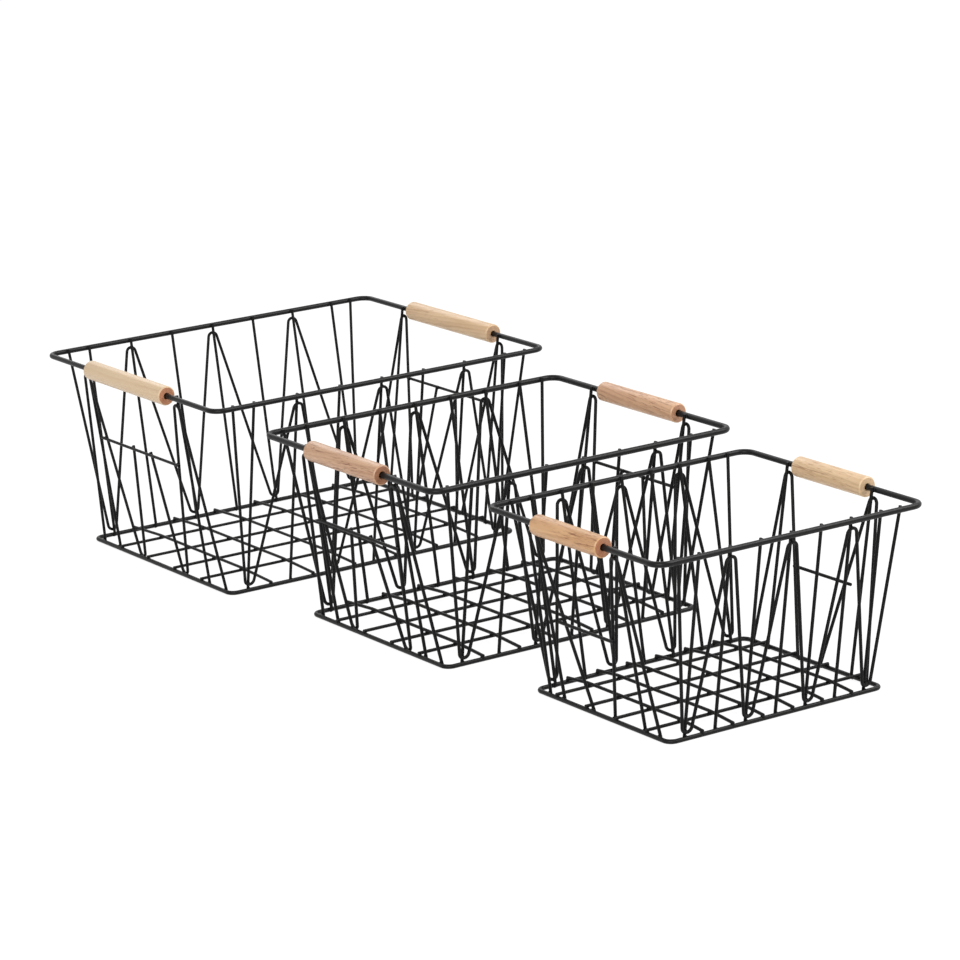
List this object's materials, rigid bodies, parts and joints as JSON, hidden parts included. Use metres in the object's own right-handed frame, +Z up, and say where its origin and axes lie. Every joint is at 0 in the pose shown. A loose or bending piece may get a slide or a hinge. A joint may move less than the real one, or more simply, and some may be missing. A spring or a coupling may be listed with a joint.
{
  "type": "wire basket set",
  "caption": "Set of open wire storage baskets in graded sizes, with sloping zigzag walls, a grid base, a thick rim and a turning wooden grip on each short side.",
  "frame": {"origin": "on the floor, under the middle of the row of baskets", "axes": "+X along the baskets' long sides, +Y along the row towards the large basket, +Z up"},
  "size_m": [0.403, 0.9672, 0.2025],
  "materials": {
    "black_wire": "satin powder coat",
    "large_grip_wood": "sanded, clear matt",
    "medium_grip_wood": "sanded, clear matt",
    "small_grip_wood": "sanded, clear matt"
  },
  "bodies": {
    "large_basket": {"large_rim": "black_wire", "large_base_frame": "black_wire", "large_base_long_wires": "black_wire", "large_base_cross_wires": "black_wire", "large_front_uprights": "black_wire", "large_front_zigzag": "black_wire", "large_back_uprights": "black_wire", "large_back_zigzag": "black_wire", "large_left_posts": "black_wire", "large_left_hairpins": "black_wire", "large_left_hand_bar": "black_wire", "large_right_posts": "black_wire", "large_right_hairpins": "black_wire", "large_right_hand_bar": "black_wire"},
    "large_left_grip": {"large_left_grip": "large_grip_wood"},
    "large_right_grip": {"large_right_grip": "large_grip_wood"},
    "medium_basket": {"medium_rim": "black_wire", "medium_base_frame": "black_wire", "medium_base_long_wires": "black_wire", "medium_base_cross_wires": "black_wire", "medium_front_uprights": "black_wire", "medium_front_zigzag": "black_wire", "medium_back_uprights": "black_wire", "medium_back_zigzag": "black_wire", "medium_left_posts": "black_wire", "medium_left_hairpins": "black_wire", "medium_left_hand_bar": "black_wire", "medium_right_posts": "black_wire", "medium_right_hairpins": "black_wire", "medium_right_hand_bar": "black_wire"},
    "medium_left_grip": {"medium_left_grip": "medium_grip_wood"},
    "medium_right_grip": {"medium_right_grip": "medium_grip_wood"},
    "small_basket": {"small_rim": "black_wire", "small_base_frame": "black_wire", "small_base_long_wires": "black_wire", "small_base_cross_wires": "black_wire", "small_front_uprights": "black_wire", "small_front_zigzag": "black_wire", "small_back_uprights": "black_wire", "small_back_zigzag": "black_wire", "small_left_posts": "black_wire", "small_left_hairpins": "black_wire", "small_left_hand_bar": "black_wire", "small_right_posts": "black_wire", "small_right_hairpins": "black_wire", "small_right_hand_bar": "black_wire"},
    "small_left_grip": {"small_left_grip": "small_grip_wood"},
    "small_right_grip": {"small_right_grip": "small_grip_wood"}
  },
  "joints": [
    {"name": "large_left_grip_turn", "type": "hinge", "parent": "large_basket", "child": "large_left_grip", "pos_m": [-0.192, 0.31757, 0.193], "axis": [0, 1, 0], "continuous": true},
    {"name": "large_right_grip_turn", "type": "hinge", "parent": "large_basket", "child": "large_right_grip", "pos_m": [0.192, 0.31757, 0.193], "axis": [0, 1, 0], "continuous": true},
    {"name": "medium_basket_lift", "type": "slide", "parent": "large_basket", "child": "medium_basket", "axis": [0, 0, 1], "range_m": [0, 0.25]},
    {"name": "medium_left_grip_turn", "type": "hinge", "parent": "medium_basket", "child": "medium_left_grip", "pos_m": [-0.168, -0.03793, 0.177], "axis": [0, 1, 0], "continuous": true},
    {"name": "medium_right_grip_turn", "type": "hinge", "parent": "medium_basket", "child": "medium_right_grip", "pos_m": [0.168, -0.03793, 0.177], "axis": [0, 1, 0], "continuous": true},
    {"name": "small_basket_lift", "type": "slide", "parent": "large_basket", "child": "small_basket", "axis": [0, 0, 1], "range_m": [0, 0.25]},
    {"name": "small_left_grip_turn", "type": "hinge", "parent": "small_basket", "child": "small_left_grip", "pos_m": [-0.145, -0.35542, 0.17], "axis": [0, 1, 0], "continuous": true},
    {"name": "small_right_grip_turn", "type": "hinge", "parent": "small_basket", "child": "small_right_grip", "pos_m": [0.145, -0.35542, 0.17], "axis": [0, 1, 0], "continuous": true}
  ]
}
